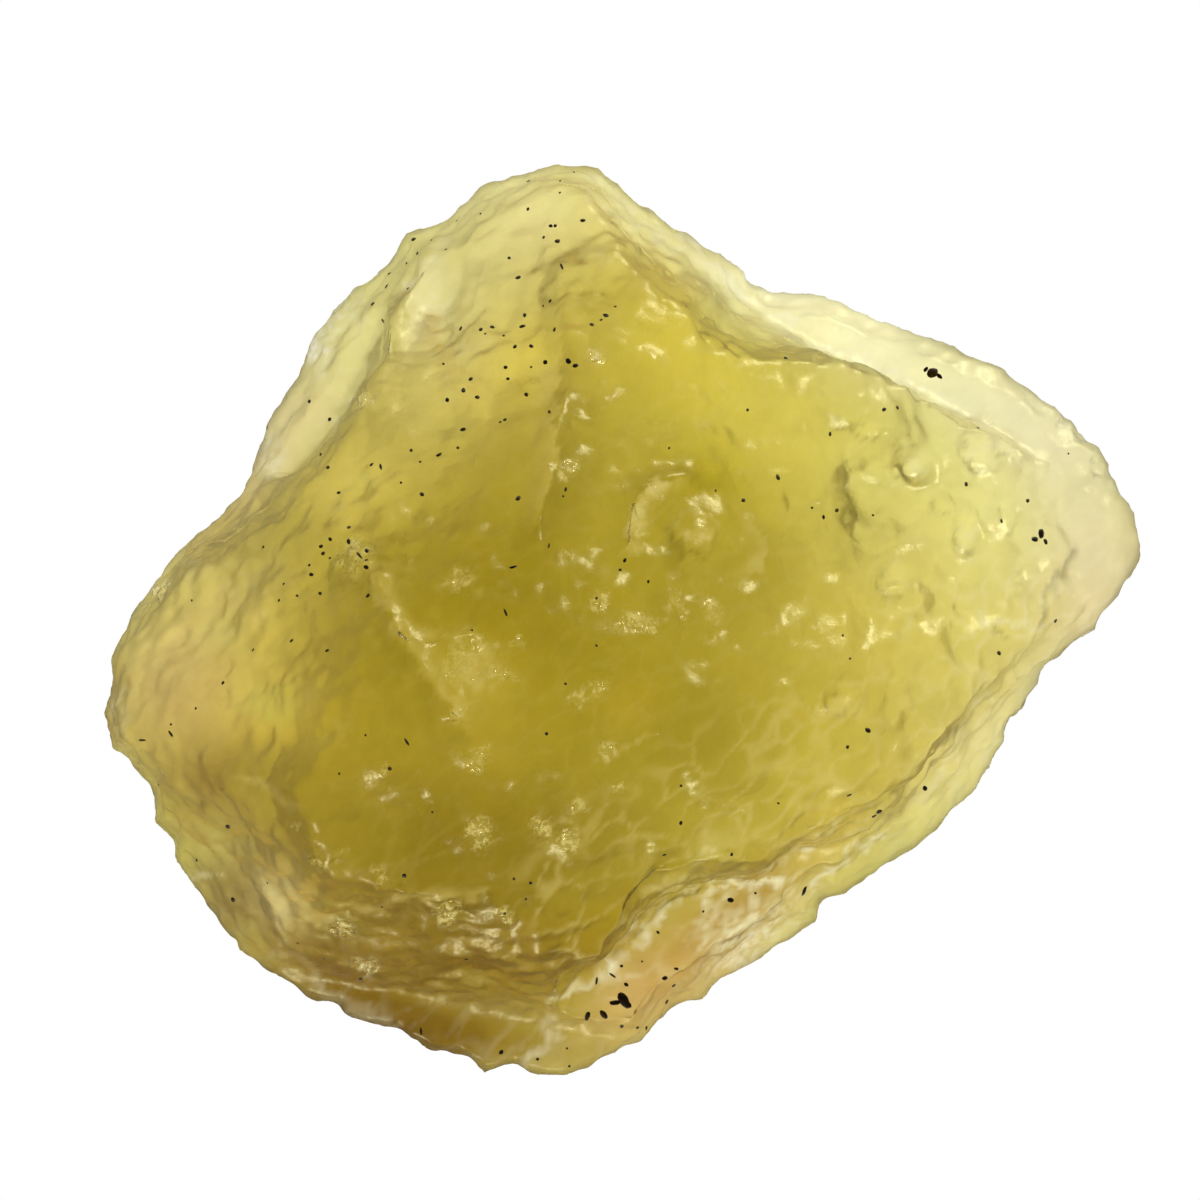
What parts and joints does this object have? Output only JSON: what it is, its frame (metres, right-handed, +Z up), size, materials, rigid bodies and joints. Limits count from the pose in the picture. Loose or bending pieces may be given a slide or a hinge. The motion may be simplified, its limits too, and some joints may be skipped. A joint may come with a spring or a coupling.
{
  "type": "libyan desert glass",
  "caption": "Irregular wind-worn lump of clear yellow-green natural silica glass with ledges, shallow scoops and a thin rim, lying on a small flat spot.",
  "frame": {"origin": "centre of the small flat spot on the underside that the lump rests on", "axes": "+Z up from the flat spot through the lump's thickness, +X along its longest extent towards the thin end, +Y across it towards the peak of the outline"},
  "size_m": [0.0459, 0.0404, 0.0198],
  "materials": {
    "desert_glass": "clear yellow-green glass with a satin, wind-worn surface and fine dark specks"
  },
  "bodies": {
    "root": {"desert_glass": "desert_glass"}
  },
  "joints": []
}
